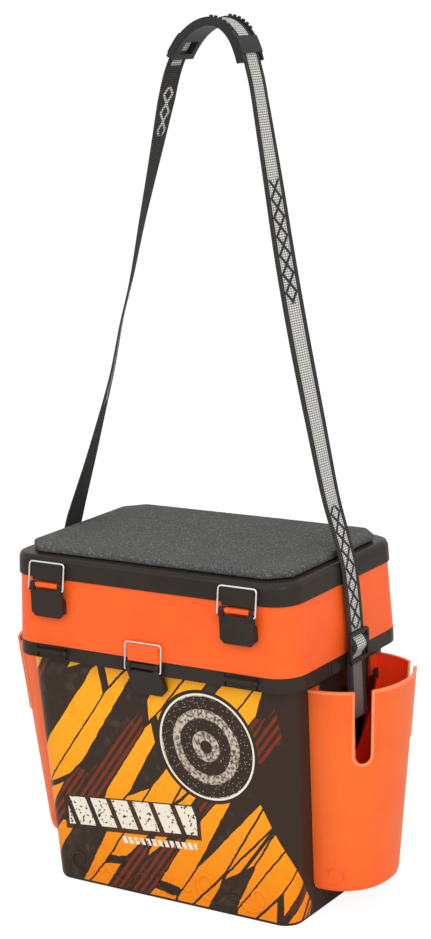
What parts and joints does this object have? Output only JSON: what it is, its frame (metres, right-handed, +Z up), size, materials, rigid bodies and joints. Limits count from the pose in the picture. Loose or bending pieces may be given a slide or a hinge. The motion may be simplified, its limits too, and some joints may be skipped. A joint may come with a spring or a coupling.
{
  "type": "fishing seat box",
  "caption": "Drafted plastic box with a hinged tray on top, a hinged padded lid to sit on, wire latches, hang-on side pockets and a webbing carrying strap.",
  "frame": {"origin": "middle of the container's flat underside", "axes": "+Z up, +X to the object's right seen from the front, front towards -Y"},
  "size_m": [0.4794, 0.2479, 0.9186],
  "materials": {
    "black_plastic": "satin moulded plastic",
    "orange_plastic": "satin moulded plastic",
    "printed_panel": "printed film moulded into the front",
    "seat_foam": "flecked closed-cell foam",
    "webbing": "woven, grey middle and black edges",
    "black_rubber": "soft moulded grip",
    "steel": "bright wire"
  },
  "bodies": {
    "container": {"container": "black_plastic", "front_panel": "printed_panel", "strap_webbing": "webbing", "shoulder_pad": "black_rubber", "adjuster_buckle": "black_plastic", "left_tray_hinge_pin": "steel", "right_tray_hinge_pin": "steel"},
    "tray": {"tray": "orange_plastic", "left_lid_hinge_pin": "steel", "right_lid_hinge_pin": "steel"},
    "lid": {"lid": "black_plastic", "seat_pad": "seat_foam"},
    "left_pocket": {"left_pocket": "orange_plastic"},
    "right_pocket": {"right_pocket": "orange_plastic"},
    "left_lever": {"left_latch_lever": "black_plastic"},
    "left_bail": {"left_latch_bail": "steel"},
    "right_lever": {"right_latch_lever": "black_plastic"},
    "right_bail": {"right_latch_bail": "steel"},
    "centre_lever": {"centre_latch_lever": "black_plastic"},
    "centre_bail": {"centre_latch_bail": "steel"}
  },
  "joints": [
    {"name": "tray_open", "type": "hinge", "parent": "container", "child": "tray", "pos_m": [0, 0.1195, 0.2725], "axis": [-1, 0, 0], "range_deg": [0, 80], "deforming": ["strap_webbing"]},
    {"name": "lid_open", "type": "hinge", "parent": "tray", "child": "lid", "pos_m": [0, 0.1182, 0.345], "axis": [-1, 0, 0], "range_deg": [0, 95], "deforming": ["strap_webbing"]},
    {"name": "left_latch", "type": "hinge", "parent": "tray", "child": "left_lever", "pos_m": [-0.1185, -0.1187, 0.3422], "axis": [-1, 0, 0], "range_deg": [0, 115]},
    {"name": "left_bail_swing", "type": "hinge", "parent": "left_lever", "child": "left_bail", "pos_m": [-0.1185, -0.1217, 0.338], "axis": [-1, 0, 0], "range_deg": [-138, 0]},
    {"name": "right_latch", "type": "hinge", "parent": "tray", "child": "right_lever", "pos_m": [0.1185, -0.1187, 0.3422], "axis": [-1, 0, 0], "range_deg": [0, 115]},
    {"name": "right_bail_swing", "type": "hinge", "parent": "right_lever", "child": "right_bail", "pos_m": [0.1185, -0.1217, 0.338], "axis": [-1, 0, 0], "range_deg": [-138, 0]},
    {"name": "centre_latch", "type": "hinge", "parent": "container", "child": "centre_lever", "pos_m": [0, -0.1187, 0.2693], "axis": [-1, 0, 0], "range_deg": [0, 130]},
    {"name": "centre_bail_swing", "type": "hinge", "parent": "centre_lever", "child": "centre_bail", "pos_m": [0, -0.12008, 0.26433], "axis": [-1, 0, 0], "range_deg": [-156, 0]},
    {"name": "left_pocket_lift", "type": "slide", "parent": "container", "child": "left_pocket", "axis": [-0.0484, 0, 0.9988], "range_m": [0, 0.0076]},
    {"name": "right_pocket_lift", "type": "slide", "parent": "container", "child": "right_pocket", "axis": [0.0484, 0, 0.9988], "range_m": [0, 0.0076]}
  ],
  "couplings": [
    {"joint": "left_bail_swing", "follows": "left_latch", "ratio": -1.2},
    {"joint": "right_bail_swing", "follows": "right_latch", "ratio": -1.2},
    {"joint": "centre_bail_swing", "follows": "centre_latch", "ratio": -1.2}
  ]
}
